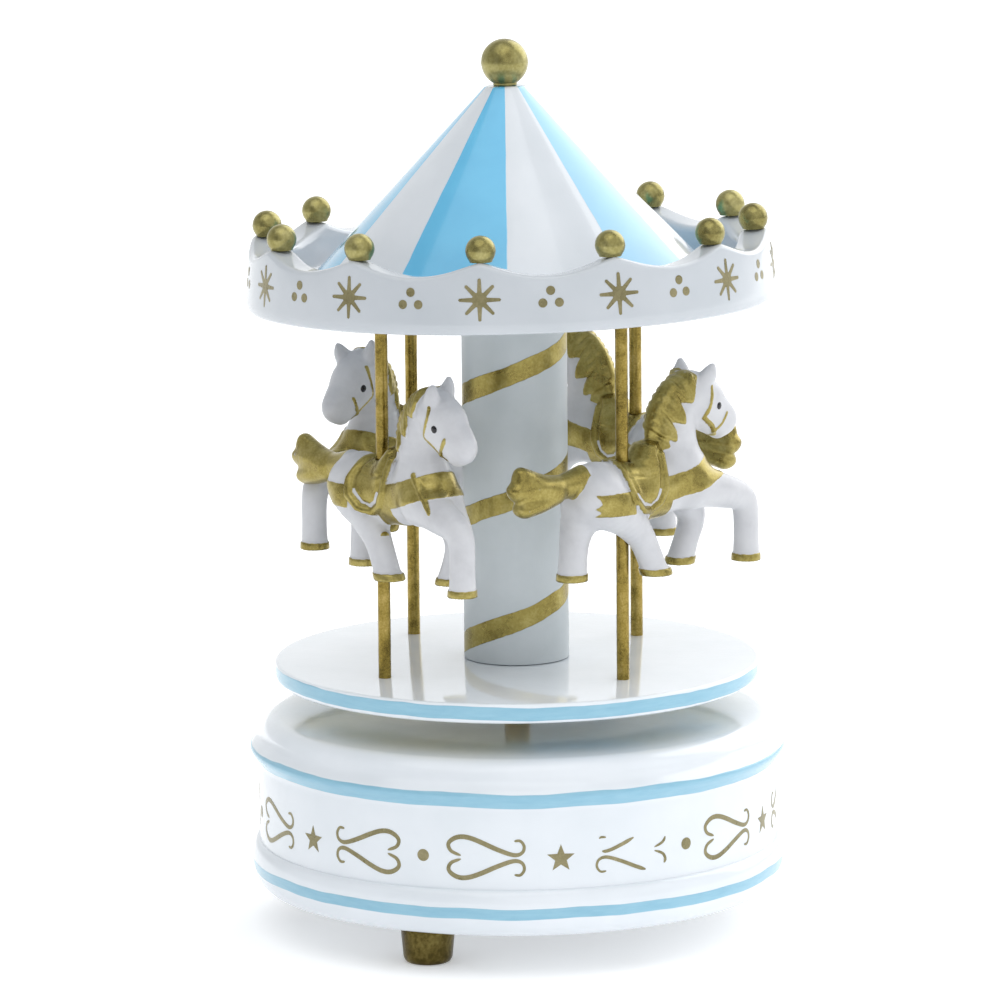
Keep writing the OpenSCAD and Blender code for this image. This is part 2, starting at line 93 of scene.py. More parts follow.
CANOPY = canopy_place()
BALLS = [CANOPY.inverted() @ centre(f"rim_ball_{k}") for k in range(1, 13)]
FINIAL = Vector((0, 0, (CANOPY.inverted() @ (high("finial") - Vector((FINIAL_R, FINIAL_R, FINIAL_R)))).z))
BALL_INSET, BALL_RISE = 4.25, 15.95  # from the crown's outer side, and from its foot
CROWN_R = math.hypot(*BALLS[0][:2]) + BALL_INSET
CROWN_Z = BALLS[0].z - BALL_RISE
CROWN_TOP = CROWN_Z + 14.2
ROOF_Z = CROWN_Z + 4.5
ROOF_TOP = FINIAL.z - 4.6
ROOF_TIP_R, ROOF_SLOPE = 4.0, 0.96
ROOF_R = ROOF_TIP_R + ROOF_SLOPE * (ROOF_TOP - ROOF_Z)


def azimuth(c):
    return math.degrees(math.atan2(c[0], -c[1]))


# ---------------------------------------------------------------- materials


class Paint:
    """A node material with one Principled shader, and short calls that add nodes to it."""

    def __init__(self, name, **constants):
        self.mat = bpy.data.materials.new(name)
        self.mat.use_nodes = True
        self.tree = self.mat.node_tree
        self.tree.nodes.clear()
        out = self.tree.nodes.new("ShaderNodeOutputMaterial")
        self.bsdf = self.tree.nodes.new("ShaderNodeBsdfPrincipled")
        self.tree.links.new(self.bsdf.outputs[0], out.inputs[0])
        for socket, value in constants.items():
            self.bsdf.inputs[socket.replace("_", " ").title().replace("Ior", "IOR")].default_value = value
        where = self.node("ShaderNodeTexCoord")
        self.mm = self.vector("SCALE", where.outputs["Object"], scale=1 / MM)

    def node(self, kind, inputs=(), **props):
        made = self.tree.nodes.new(kind)
        for key, value in props.items():
            setattr(made, key, value)
        for key, value in dict(inputs).items():
            if isinstance(value, bpy.types.NodeSocket):
                self.tree.links.new(value, made.inputs[key])
            else:
                made.inputs[key].default_value = value
        return made

    def vector(self, operation, a, b=None, scale=None):
        inputs = {0: a}
        if b is not None:
            inputs[1] = b
        if scale is not None:
            inputs["Scale"] = scale
        return self.node("ShaderNodeVectorMath", inputs, operation=operation).outputs[0]

    def math(self, operation, a, b=0.0):
        return self.node("ShaderNodeMath", {0: a, 1: b}, operation=operation).outputs[0]

    def noise(self, size, detail=2.0, rough=0.5, where=None):
        """Noise from 0 to 1 with features of that size in mm."""
        inputs = {"Vector": where or self.mm, "Scale": 1 / size, "Detail": detail, "Roughness": rough}
        return self.node("ShaderNodeTexNoise", inputs).outputs["Fac"]

    def span(self, value, a, b, c=0.0, d=1.0):
        """value from a..b, mapped to c..d and kept inside it."""
        inputs = {"Value": value, "From Min": a, "From Max": b, "To Min": c, "To Max": d}
        return self.node("ShaderNodeMapRange", inputs).outputs[0]

    def ramp(self, value, *stops):
        made = self.node("ShaderNodeValToRGB", {0: value})
        band = made.color_ramp
        while len(band.elements) < len(stops):
            band.elements.new(0.5)
        for element, (at, colour) in zip(band.elements, stops):
            element.position = at
            element.color = (*srgb(colour), 1)
        return made.outputs[0]

    def mix(self, fac, a, b):
        made = self.node("ShaderNodeMix", {0: fac}, data_type="RGBA")
        for key, value in ((6, a), (7, b)):
            if isinstance(value, bpy.types.NodeSocket):
                self.tree.links.new(value, made.inputs[key])
            else:
                made.inputs[key].default_value = (*srgb(value), 1)
        return made.outputs[2]

    def blend(self, fac, a, b):
        """The number a where fac is 0 and b where it is 1."""
        made = self.node("ShaderNodeMix", {0: fac, 2: a, 3: b})
        return made.outputs[0]

    def put(self, **sockets):
        for socket, value in sockets.items():
            self.tree.links.new(value, self.bsdf.inputs[socket.replace("_", " ").title()])
        return self.mat

    def bump(self, height, depth):
        """A normal from a height of 0 to 1 that stands for depth mm."""
        inputs = {"Height": height, "Distance": depth * MM, "Strength": 1.0}
        self.put(Normal=self.node("ShaderNodeBump", inputs).outputs[0])

    def xyz(self):
        return self.node("ShaderNodeSeparateXYZ", {0: self.mm}).outputs

    def attribute(self, name):
        return self.node("ShaderNodeAttribute", attribute_name=name).outputs["Fac"]


def srgb(colour):
    """Linear colour of a displayed 0..255 colour."""
    return tuple((c / 255 / 12.92) if c <= 10 else ((c / 255 + 0.055) / 1.055) ** 2.4 for c in colour)


WHITE, WHITE_DIM = (229, 234, 240), (222, 228, 234)
BLUE, BLUE_DEEP = (149, 198, 219), (136, 188, 212)
SKY, SKY_DEEP = (110, 199, 239), (102, 191, 233)
GOLD = ((122, 108, 54), (156, 142, 78), (186, 172, 108))
CAST = ((122, 112, 64), (152, 144, 90), (184, 176, 122))
KHAKI = ((116, 108, 73), (137, 129, 92), (159, 149, 114))
# The feet's gold is set darker than the other golds as painted shade under the base.
FOOT_GOLD_SHADED = ((40, 32, 8), (84, 72, 30), (132, 118, 66))
ROD_GOLD = ((84, 70, 26), (150, 130, 62), (196, 172, 104))
COLUMN_WHITES = ((200, 208, 212), (209, 216, 220))
HORSE_WHITES = ((194, 195, 199), (204, 205, 209), (211, 212, 215))
# The grey is painted shade at the bottom of the base; the beige is the turntable's underside, made light as
# painted light.
SHADE_GREY, LIT_BEIGE, EYE_BLACK = (172, 178, 186), (228, 220, 178), (14, 14, 18)


def gold_nodes(p, size=1.6, tones=GOLD):
    """Colour, roughness and height of antique gold paint: finely grained, with a few darker patches."""
    fine, coarse = p.noise(size * 0.35, 3, 0.55), p.noise(size * 3, 2, 0.5)
    patch = p.blend(0.6, fine, coarse)
    colour = p.ramp(patch, (0.28, tones[0]), (0.5, tones[1]), (0.72, tones[2]))
    return colour, p.span(coarse, 0.3, 0.7, 0.24, 0.36), fine


def gold(name, size=1.6, depth=0.03, tones=GOLD, metallic=0.85):
    p = Paint(name, metallic=metallic, specular_ior_level=0.5)
    colour, rough, height = gold_nodes(p, size, tones)
    p.bump(height, depth)
    return p.put(base_color=colour, roughness=rough)


def plastic_nodes(p, size=14.0, lift=0, gloss=0.13):
    """Colour, roughness and height of white moulded plastic: faint mottling and orange peel."""
    cloud, peel = p.noise(size, 3), p.noise(1.3, 2)
    # lift shifts both tones: painted light when above 0, painted shade when below.
    dim, bright = (tuple(c + lift for c in tone) for tone in (WHITE_DIM, WHITE))
    rough = p.span(p.noise(4, 3), 0.3, 0.7, gloss, gloss + 0.08)
    return p.ramp(cloud, (0.3, dim), (0.7, bright)), rough, peel


def banded_white(name, bands, lift=0, gloss=0.13, dim=None, beneath=None):
    """White plastic with hand-painted blue bands, given as heights (z0, z1).

    dim (z0, z1, how much) greys the white towards the bottom: painted shade. lift makes the white lighter
    as painted light when above 0 and darker as painted shade when below. beneath is the turntable's colour
    on its underside: a beige, made light as painted light in the shaded gap over the base.
    """
    p = Paint(name, coat_weight=0.4, coat_roughness=0.04, specular_ior_level=0.5)
    white, rough, peel = plastic_nodes(p, 14.0, lift, gloss)
    x, y, z = p.xyz()[:3]
    # Painted shade: the white greys towards the bottom.
    if dim:
        white = p.mix(p.span(z, dim[0], dim[1], dim[2], 0), white, SHADE_GREY)
    # The turntable's underside is beige, made light as painted light in the shaded gap over the base.
    if beneath:
        out = p.math("SQRT", p.math("ADD", p.math("MULTIPLY", x, x), p.math("MULTIPLY", y, y)))
        inside = p.span(out, TABLE_R - 1.7, TABLE_R - 1.4, 1, 0)
        below = p.span(z, TABLE_Z - 1.3, TABLE_Z - 1.0, 1, 0)
        white = p.mix(p.math("MULTIPLY", inside, below), white, beneath)
    # The brush follows the rim, so its wobble changes along the rim and hardly with height.
    along = p.vector("MULTIPLY", p.mm, (1, 1, 0.15))
    wobble = p.span(p.noise(16, 2, 0.5, along), 0.25, 0.75, -0.3, 0.3)
    edge = p.math("ADD", z, wobble)
    painted = None
    for z0, z1 in bands:
        over, under = p.span(edge, z0 - 0.06, z0 + 0.06), p.span(edge, z1 - 0.06, z1 + 0.06, 1, 0)
        inside = p.math("MULTIPLY", over, under)
        painted = inside if painted is None else p.math("MAXIMUM", painted, inside)
    strokes = p.noise(2.2, 3, 0.6, p.vector("MULTIPLY", p.mm, (0.35, 0.35, 2.2)))
    blue = p.ramp(strokes, (0.3, BLUE_DEEP), (0.72, BLUE))
    p.bump(p.math("ADD", p.math("MULTIPLY", painted, 1.6), p.math("MULTIPLY", peel, 0.4)), 0.025)
    return p.put(base_color=p.mix(painted, white, blue), roughness=p.blend(painted, rough, 0.2))


def striped(name, stripes):
    """Glossy roof paint: white, with hand-painted blue sectors (from azimuth, to azimuth, how strong)."""
    p = Paint(name, coat_weight=0.6, coat_roughness=0.05, specular_ior_level=0.5)
    white, rough, peel = plastic_nodes(p, lift=-2)
    x, y, _ = p.xyz()[:3]
    turn = p.math("MULTIPLY", p.math("ARCTAN2", x, p.math("MULTIPLY", y, -1.0)), 360 / TAU)
    wander = p.span(p.noise(7, 2), 0.25, 0.75, -0.25, 0.25)
    painted = None
    for start, end, strength in stripes:
        # How far the place is from the middle of the stripe, in degrees, whichever way round.
        off = p.math("PINGPONG", p.math("ADD", p.math("SUBTRACT", turn, (start + end) / 2), wander), 180.0)
        # A strength below 1 makes the stripe fainter: painted sheen of reflected light.
        inside = p.span(off, (end - start) / 2 - 0.2, (end - start) / 2 + 0.2, strength, 0)
        painted = inside if painted is None else p.math("MAXIMUM", painted, inside)
    sky = p.ramp(p.noise(10, 3), (0.3, SKY_DEEP), (0.7, SKY))
    p.bump(p.math("ADD", p.math("MULTIPLY", painted, 1.2), p.math("MULTIPLY", peel, 0.4)), 0.025)
    return p.put(base_color=p.mix(painted, white, sky), roughness=rough)


def spiral_column(name, pitch, width, first):
    """Satin white tube with a gold band wound about it."""
    p = Paint(name, specular_ior_level=0.5)
    x, y, z = p.xyz()[:3]
    white = p.ramp(p.noise(9, 3), (0.3, COLUMN_WHITES[0]), (0.7, COLUMN_WHITES[1]))
    turn = p.math("MULTIPLY", p.math("ARCTAN2", x, p.math("MULTIPLY", y, -1.0)), pitch / TAU)
    climb = p.math("SUBTRACT", p.math("SUBTRACT", z, turn), first)
    wobble = p.span(p.noise(5, 3), 0.25, 0.75, -0.25, 0.25)
    phase = p.math("MULTIPLY", p.math("FRACT", p.math("DIVIDE", p.math("ADD", climb, wobble), pitch)), pitch)
    band = p.math("MULTIPLY", p.span(phase, 0.0, 0.12), p.span(phase, width, width + 0.12, 1, 0))
    colour, rough, mottle = gold_nodes(p)
    paint_height = p.math("MULTIPLY", band, p.math("ADD", 1.5, mottle))
    p.bump(p.math("ADD", paint_height, p.math("MULTIPLY", p.noise(0.9, 3), 0.35)), 0.06)
    return p.put(
        base_color=p.mix(band, white, colour),
        roughness=p.blend(band, 0.42, rough),
        metallic=p.math("MULTIPLY", band, 0.8),
    )


def horse_paint(name):
    """Satin white figure with gold trim and black eyes, painted where the mesh says."""
    p = Paint(name, specular_ior_level=0.5)
    white = p.ramp(p.noise(6, 4, 0.6), *zip((0.28, 0.5, 0.75), HORSE_WHITES))
    edge = p.math("ADD", p.attribute("trim"), p.span(p.noise(1.7, 3), 0.25, 0.75, -0.13, 0.13))
    trim = p.span(edge, -0.05, 0.05, 1, 0)
    colour, rough, mottle = gold_nodes(p, 1.3)
    eye = p.span(p.attribute("eye"), -0.05, 0.05, 1, 0)
    both = p.mix(eye, p.mix(trim, white, colour), EYE_BLACK)
    paint_height = p.math("MULTIPLY", trim, p.math("MULTIPLY", mottle, 0.5))
    p.bump(p.math("ADD", paint_height, p.math("MULTIPLY", p.noise(1.1, 3), 0.3)), 0.05)
    satin = p.span(p.noise(3, 3), 0.3, 0.7, 0.3, 0.42)
    return p.put(
        base_color=both,
        roughness=p.blend(eye, p.blend(trim, satin, rough), 0.12),
        metallic=p.math("MULTIPLY", trim, 0.8),
    )


def metal(name, dark, light, rough, size=2.5, brushed=(1, 1, 1), metallic=1.0):
    """Machined or cast metal, or plain plastic, brushed along the axes where brushed is small."""
    p = Paint(name, metallic=metallic)
    grain = p.noise(size, 4, 0.65, p.vector("MULTIPLY", p.mm, brushed))
    p.bump(grain, 0.015)
    colour = p.ramp(grain, (0.3, dark), (0.7, light))
    return p.put(base_color=colour, roughness=p.span(grain, 0.3, 0.7, rough, rough + 0.14))


# ---------------------------------------------------------------- meshes


def make(name, co, faces, material, body, replaces=(), sharp_deg=40, place=None):
    """A piece from points in mm and faces: smooth, with sharp edges kept, riding on a body."""
    mesh = bpy.data.meshes.new(name)
    mesh.from_pydata((np.asarray(co) * MM).tolist(), [], [list(map(int, f)) for f in faces])
    tidy = bmesh.new()
    tidy.from_mesh(mesh)
    bmesh.ops.remove_doubles(tidy, verts=tidy.verts, dist=1e-7)
    bmesh.ops.dissolve_degenerate(tidy, edges=tidy.edges, dist=1e-8)
    bmesh.ops.recalc_face_normals(tidy, faces=tidy.faces)
    tidy.to_mesh(mesh)
    tidy.free()
    return piece(name, mesh, material, body, replaces, sharp_deg, place)


def piece(name, mesh, material, body, replaces=(), sharp_deg=40, place=None):
    mesh.shade_smooth()
    if sharp_deg:
        mesh.set_sharp_from_angle(angle=math.radians(sharp_deg))
    mesh.materials.append(material)
    made = bpy.data.objects.new(name, mesh)
    bpy.context.scene.collection.objects.link(made)
    if place:
        made.matrix_world = Matrix.Translation(place.translation * MM) @ place.to_3x3().to_4x4()
    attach(made, body)
    if replaces:
        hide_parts(*replaces)
    return made


class Parts:
    """Points and faces of several shapes gathered into one mesh."""

    def __init__(self):
        self.co, self.faces = np.zeros((0, 3)), []

    def add(self, co, faces):
        self.faces += [tuple(i + len(self.co) for i in f) for f in faces]
        self.co = np.vstack([self.co, co])
        return self

    def lathe(self, rings, seg=256, closed=False, at=(0, 0)):
        """Rings [(r, z)] turned about the vertical at a point. r and z may be arrays over the azimuth."""
        a = np.arange(seg) * TAU / seg
        r = np.array([np.broadcast_to(ring[0], seg) for ring in rings], float)
        z = np.array([np.broadcast_to(ring[1], seg) for ring in rings], float)
        co = np.stack([r * np.sin(a) + at[0], -r * np.cos(a) + at[1], z], -1).reshape(-1, 3)
        faces, n = [], len(rings)
        for i in range(n if closed else n - 1):
            for j in range(seg):
                k, here, there = (j + 1) % seg, i * seg, (i + 1) % n * seg
                faces.append((here + j, here + k, there + k, there + j))
        return self.add(co, faces)


def rounded(points, steps=5):
    """A profile through points (r, z, fillet): a corner becomes a curve that starts fillet mm before it."""
    out = []
    for i, p in enumerate(points):
        fillet = p[2] if len(p) > 2 else 0
        here = np.array(p[:2], float)
        if not fillet or i in (0, len(points) - 1):
            out.append(tuple(here))
            continue
        ends = []
        for other in (points[i - 1], points[i + 1]):
            way = np.array(other[:2], float) - here
            ends.append(here + way * min(0.5, fillet / np.linalg.norm(way)))
        for t in np.linspace(0, 1, steps + 1):
            out.append(tuple((1 - t) ** 2 * ends[0] + 2 * t * (1 - t) * here + t * t * ends[1]))
    return out


def arc(centre_rz, half, a0, a1, n=12):
    """Points of an ellipse's arc about a centre, from angle a0 to a1 in degrees."""
    a = np.radians(np.linspace(a0, a1, n + 1))
    return [(centre_rz[0] + half[0] * math.cos(t), centre_rz[1] + half[1] * math.sin(t)) for t in a]


# ---------------------------------------------------------------- camera, light and floor


# The photo's camera: place in metres, how far it looks down and is rolled in degrees, and lens in mm.
CAMERA_AT, CAMERA_DOWN, CAMERA_ROLL, LENS = (-0.003, -1.3356, 0.319), 9.9, -0.5, 243.3
FLOOR_GLOW = 0.26
TENT = 1.12
# Added to the tent's level at its front, left, right and top: axis, from where, to where, how much.
TENT_SIDES = ((1, -0.25, -0.9, -0.63), (0, -0.1, -0.9, -0.48), (0, 0.1, 0.9, -0.36), (2, 0.4, 1.0, -0.64))
TENT_COLOUR = (0.975, 0.99, 1.0, 1)
# Name, strength, angular size in degrees, and turn in degrees.
SUNS = (("top", 0.68, 60, (16, -10, 0)), ("fill", 0.77, 80, (40, 30, 0)))
# A bright panel behind and to the right, seen as the pale sheen on that side of the roof and crown.
PANEL_W, PANEL_SIZE, PANEL_AT = 33, 2.4, (1.47, 1.41, 1.37)


def stage_and_camera():
    scene = bpy.context.scene
    scene.view_settings.view_transform = "Standard"
    camera = bpy.data.objects.new("camera", bpy.data.cameras.new("camera"))
    camera.data.lens, camera.data.sensor_width = LENS, 36
    camera.data.clip_start, camera.data.clip_end = 0.05, 50
    tilt = Matrix.Rotation(math.radians(90 - CAMERA_DOWN), 4, "X")
    roll = Matrix.Rotation(math.radians(CAMERA_ROLL), 4, "Z")
    camera.matrix_world = Matrix.Translation(CAMERA_AT) @ tilt @ roll
    scene.collection.objects.link(camera)
    scene.camera = camera

    floor_mesh = bpy.data.meshes.new("floor")
    floor_mesh.from_pydata([(-9, -4, 0), (9, -4, 0), (9, 14, 0), (-9, 14, 0)], [], [(0, 1, 2, 3)])
    p = Paint("pale_floor", roughness=0.9, specular_ior_level=0.1, emission_color=(1, 1, 1, 1),
              emission_strength=FLOOR_GLOW)
    tone = p.ramp(p.noise(90, 2), (0.3, (249, 250, 251)), (0.7, (251, 252, 253)))
    floor_mesh.materials.append(p.put(base_color=tone))
    floor = bpy.data.objects.new("floor", floor_mesh)
    scene.collection.objects.link(floor)

    # A light tent: bright all round, and less so towards the sides in TENT_SIDES.
    world = bpy.data.worlds.new("tent")
    world.use_nodes = True
    scene.world = world
    nodes, link = world.node_tree.nodes, world.node_tree.links.new
    split = nodes.new("ShaderNodeSeparateXYZ")
    link(nodes.new("ShaderNodeTexCoord").outputs["Generated"], split.inputs[0])
    level = nodes.new("ShaderNodeValue").outputs[0]
    level.default_value = TENT
    for axis, start, full, gain in TENT_SIDES:
        side = nodes.new("ShaderNodeMapRange")
        side.interpolation_type = "SMOOTHSTEP"
        for key, value in (("From Min", start), ("From Max", full), ("To Min", 0.0), ("To Max", gain)):
            side.inputs[key].default_value = value
        link(split.outputs[axis], side.inputs["Value"])
        total = nodes.new("ShaderNodeMath")
        link(level, total.inputs[0])
        link(side.outputs[0], total.inputs[1])
        level = total.outputs[0]
    back = nodes["Background"]
    back.inputs[0].default_value = TENT_COLOUR
    link(level, back.inputs[1])

    for name, energy, angle, turn in SUNS:
        lamp = bpy.data.lights.new(name, "SUN")
        lamp.energy, lamp.angle = energy, math.radians(angle)
        sun = bpy.data.objects.new(name, lamp)
        sun.rotation_euler = [math.radians(t) for t in turn]
        scene.collection.objects.link(sun)
    lamp = bpy.data.lights.new("panel", "AREA")
    lamp.energy, lamp.size = PANEL_W, PANEL_SIZE
    panel = bpy.data.objects.new("panel", lamp)
    aim = (Vector(PANEL_AT) - Vector((0, 0, 0.1))).to_track_quat("Z", "Y").to_matrix().to_4x4()
    panel.matrix_world = Matrix.Translation(PANEL_AT) @ aim
    scene.collection.objects.link(panel)


# ---------------------------------------------------------------- base and carousel


def build_base(mats):
    outer = (
        arc((WALL_R - 2.1, BASE_Z + 6.4), (3.7, 6.4), -90, 0, 18)
        + arc((WALL_R, BASE_Z + 6.4), (1.6, 3.2), 0, 90, 10)[1:]
        + rounded([(WALL_R, 30), (WALL_R, 33.9, 0.9), (BASE_R - 0.3, 36.2, 0.5), (BASE_R - 0.05, 37.0, 0.5),
                   (BASE_R - 0.7, 37.8, 0.5), (BASE_R - 2.1, 39.0, 0.9), (BASE_R - 2.6, 40.2)])
        + arc((BASE_R - 6.4, BASE_TOP - 4.6), (3.9, 3.9), 14, 82, 12)
        + arc((BASE_R - 19.3, BASE_TOP - 15), (43.4, 15), 72.5, 90, 12)
    )
    thick = 2.2
    inner = rounded([
        (4.05, BASE_TOP), (4.05, BASE_TOP - thick), (42, BASE_TOP - thick, 2),
        (WALL_R - 4.2, BASE_TOP - 3.8, 2), (WALL_R - thick, 36, 1), (WALL_R - thick, BASE_Z)])
    shell = Parts().lathe(outer + inner, 288, closed=True)
    make("base_shell", shell.co, shell.faces, mats["base"], "base", ["base_housing"])
    for k, node in enumerate(("foot_front", "foot_right", "foot_left"), 1):
        x, y, top = *centre(node)[:2], low("base_plate").z
        profile = rounded([(0, 0), (4.2, 0, 0.4), (4.85, 0.8, 0.6), (5.55, top - 0.5, 0.4), (5.2, top),
                           (2.45, top), (2.45, top + 3), (0, top + 3)])
        foot = Parts().lathe(profile, 64, at=(x, y))
        make(f"foot_{k}_turned", foot.co, foot.faces, mats["gold_foot"], "base", [node])


def build_table(mats):
    web, neck, rim = TABLE_Z - 3.25, SHAFT_NECK_R + 0.02, TABLE_R - 2.2
    profile = rounded([
        (neck, TABLE_Z), (TABLE_R, TABLE_Z, 0.7), (TABLE_R, TABLE_LOW + 1.3, 0.5),
        (TABLE_R - 0.5, TABLE_LOW + 0.35, 0.4), (TABLE_R - 1.2, TABLE_LOW, 0.3),
        (rim, TABLE_LOW, 0.2), (rim, web, 0.3), (neck, web)])
    disc = Parts().lathe(profile, 256, closed=True)
    spigot = rounded([(COLUMN_R - 1.82, TABLE_Z - 0.5), (COLUMN_R - 1.82, TABLE_Z + 3, 0.2),
                      (COLUMN_R - 3.4, TABLE_Z + 3, 0.2), (COLUMN_R - 3.4, TABLE_Z - 0.5)])
    disc.lathe(spigot, 96, closed=True)
    make("turntable_disc", disc.co, disc.faces, mats["table"], "carousel", ["turntable"])

    bore, foot = COLUMN_R - 1.8, TABLE_Z + 0.15
    sides = [(bore, foot), (COLUMN_R, foot, 0.15), (COLUMN_R, COLUMN_TOP), (bore, COLUMN_TOP)]
    tube = Parts().lathe(rounded(sides), 128, closed=True)
    make("column_tube", tube.co, tube.faces, mats["column"], "carousel", ["column"])

    rng = np.random.default_rng(7)
    for k in range(1, 5):
        node = f"pole_{k}"
        z = np.linspace(low(node).z, high(node).z, 90)
        # Plated wire: slightly uneven, always inside the CAD rod's radius.
        r = POLE_R * (1 - 0.035 * rng.random((len(z), 24)))
        rings = [(0, z[0])] + list(zip(r, z)) + [(0, z[-1])]
        rod = Parts().lathe(rings, 24, at=centre(node)[:2])
        make(f"pole_{k}_rod", rod.co, rod.faces, mats["rod"], "carousel", [node])


# ---------------------------------------------------------------- canopy


def crown_top(a):
    """Height of the scalloped rim at azimuth a (radians): arcs between rounded peaks."""
    step, first = TAU / 12, math.radians(azimuth(BALLS[0]))
    off = (a - first) % step - step / 2
    depth, scoop, soft = 3.2, 28.0, 0.9
    across = CROWN_R * np.sin(off)
    scallop = CROWN_TOP - depth + scoop - np.sqrt(scoop**2 - across**2)
    rounding = soft * np.log(1 + np.exp(-np.abs(scallop - CROWN_TOP) / soft))
    return np.minimum(scallop, CROWN_TOP) - rounding + 0.12


def crown_r_at(z):
    """Outer radius of the crown, which leans inwards as it rises."""
    return CROWN_R - 1.1 * np.clip((z - CROWN_Z - 1.2) / 13, 0, 1)


def build_canopy(mats):
    seg = 480
    top = crown_top(np.arange(seg) * TAU / seg)
    wall, ceiling, lip, fold = CROWN_R - 7.2, CROWN_Z + 2.5, 1.1, 1.6
    below = rounded([(0, ceiling), (wall, ceiling, 0.4), (wall, CROWN_Z, 0.5), (CROWN_R - 0.3, CROWN_Z, 0.8),
                     (CROWN_R, CROWN_Z + 1.6, 0.6), (CROWN_R - 0.1, CROWN_Z + 3)])
    rise = [(crown_r_at(z), z) for z in (CROWN_Z + 6, CROWN_Z + 8.5)]
    edge = crown_r_at(top)
    quarter = np.linspace(0, math.pi / 2, 8)
    over = [(edge - lip + lip * math.cos(t), top - lip + lip * math.sin(t)) for t in quarter]
    bend = top - fold - 0.25
    over += [(wall + fold - fold * math.cos(t), bend + fold * math.sin(t)) for t in quarter[::-1]]
    gutter = rounded([(wall, ROOF_Z + 3), (wall, ROOF_Z, 1.2), (0, ROOF_Z)])
    crown = Parts().lathe(below + rise + over + gutter, seg)
    # The collar about the column and the seats of the poles stand upright.
    upright = Parts()
    foot_z, head_z = CROWN_Z + 0.2, ceiling + 0.8

    def sleeve(inner, outer):
        return rounded([(inner, head_z), (inner, foot_z), (outer, foot_z, 0.5), (outer, head_z)])

    upright.lathe(sleeve(COLUMN_R + 0.02, COLUMN_R + 1.8), 96, closed=True)
    for k in range(1, 5):
        upright.lathe(sleeve(POLE_R + 0.02, 3.2), 40, closed=True, at=centre(f"pole_{k}")[:2])
    back = np.array(CANOPY.inverted())
    crown.add(upright.co @ back[:3, :3].T + back[:3, 3], upright.faces)
    make("crown_rim", crown.co, crown.faces, mats["crown"], "carousel", ["canopy_crown"],
         place=CANOPY)

    inside, stud_bore, thick = 164.0, 1.52, 2.5
    roof = Parts().lathe(rounded([
        (stud_bore, ROOF_TOP), (ROOF_TIP_R, ROOF_TOP, 0.5), (ROOF_R, ROOF_Z, 0.25),
        (ROOF_R - thick, ROOF_Z, 0.1), (ROOF_TIP_R + ROOF_SLOPE * (ROOF_TOP - inside) - thick, inside, 0.5),
        (stud_bore, inside)]), 288, closed=True)
    make("roof_striped", roof.co, roof.faces, mats["roof"], "carousel", ["roof_cone"],
         place=CANOPY)

    rng = np.random.default_rng(3)
    for k, at in enumerate(BALLS, 1):
        ball = cast_ball(at, BALL_R, 2.35, rng)
        make(f"rim_ball_{k}_cast", ball.co, ball.faces, mats["gold_cast"], "carousel",
             [f"rim_ball_{k}"], place=CANOPY)
    finial = cast_ball(FINIAL, FINIAL_R, 2.3, rng, 64)
    collar = [(0, 0), (2.4, 0, 0.3), (2.35, 0.7, 0.2), (1.9, 1.0, 0.2), (1.9, 2), (0, 2)]
    finial.lathe(rounded([(r, ROOF_TOP + rise, *fillet) for r, rise, *fillet in collar]), 48)
    stud_r, stud_foot, stud_head = 1.5, inside - 2, ROOF_TOP + 0.5
    finial.lathe([(0, stud_foot), (stud_r, stud_foot), (stud_r, stud_head), (0, stud_head)], 24)
    make("finial_cast", finial.co, finial.faces, mats["gold_cast"], "carousel", ["finial"],
         place=CANOPY)


def cast_ball(c, r, seat, rng, seg=40):
    """A cast ball with a flat seat below, a parting line, and a slightly uneven skin."""
    start = -math.pi / 2 + math.asin(seat / r)
    waves = [(rng.uniform(2, 5), rng.uniform(0, TAU), rng.uniform(0.004, 0.009)) for _ in range(4)]
    a = np.arange(seg) * TAU / seg
    rings = [(0, c.z + r * math.sin(start) - 0.35), (seat * 0.92, c.z + r * math.sin(start) - 0.35)]
    for t in np.linspace(start, math.pi / 2, 26):
        skin = 0.985 + sum(h * np.sin(round(n) * a + p + 3 * t) * math.cos(t) for n, p, h in waves) * 0.5
        skin = skin + (0.01 if abs(t) < 0.04 else 0)
        rings.append((r * np.minimum(skin, 1) * math.cos(t), c.z + r * 0.99 * math.sin(t)))
    return Parts().lathe(rings, seg, at=(c.x, c.y))


# ---------------------------------------------------------------- prints


def ring_shape(points):
    """A filled flat shape from its outline, as points and one face."""
    return np.array(points, float), [tuple(range(len(points)))]


def disc_shape(r, x=0.0, y=0.0, n=28):
    return ring_shape([(x + r * math.cos(i * TAU / n), y + r * math.sin(i * TAU / n)) for i in range(n)])


def star_shape(points, outer, inner):
    tips = []
    for i in range(points * 2):
        a, r = math.pi / 2 + i * math.pi / points, outer if i % 2 == 0 else inner
        tips.append((r * math.cos(a), r * math.sin(a)))
    return ring_shape(tips)


def stroke_shape(path, widths, n=60, span=(0.0, 1.0)):
    """A strip of changing width along a smooth path, between two fractions of its length."""
    path = np.array(path, float)
    t = np.linspace(span[0], span[1], n) * (len(path) - 1)
    line = np.array([spline(path, u) for u in t])
    way = np.gradient(line, axis=0)
    side = np.stack([-way[:, 1], way[:, 0]], 1) / np.linalg.norm(way, axis=1)[:, None]
    half = np.interp(np.linspace(span[0], span[1], n), np.linspace(0, 1, len(widths)), widths)[:, None] / 2
    soft = np.minimum(1, np.minimum(np.arange(n), np.arange(n)[::-1]) / 2.5 + 0.35)[:, None]
    co = np.vstack([line + side * half * soft, line - side * half * soft])
    return co, [(i, i + n, i + n + 1, i + 1) for i in range(n - 1)]


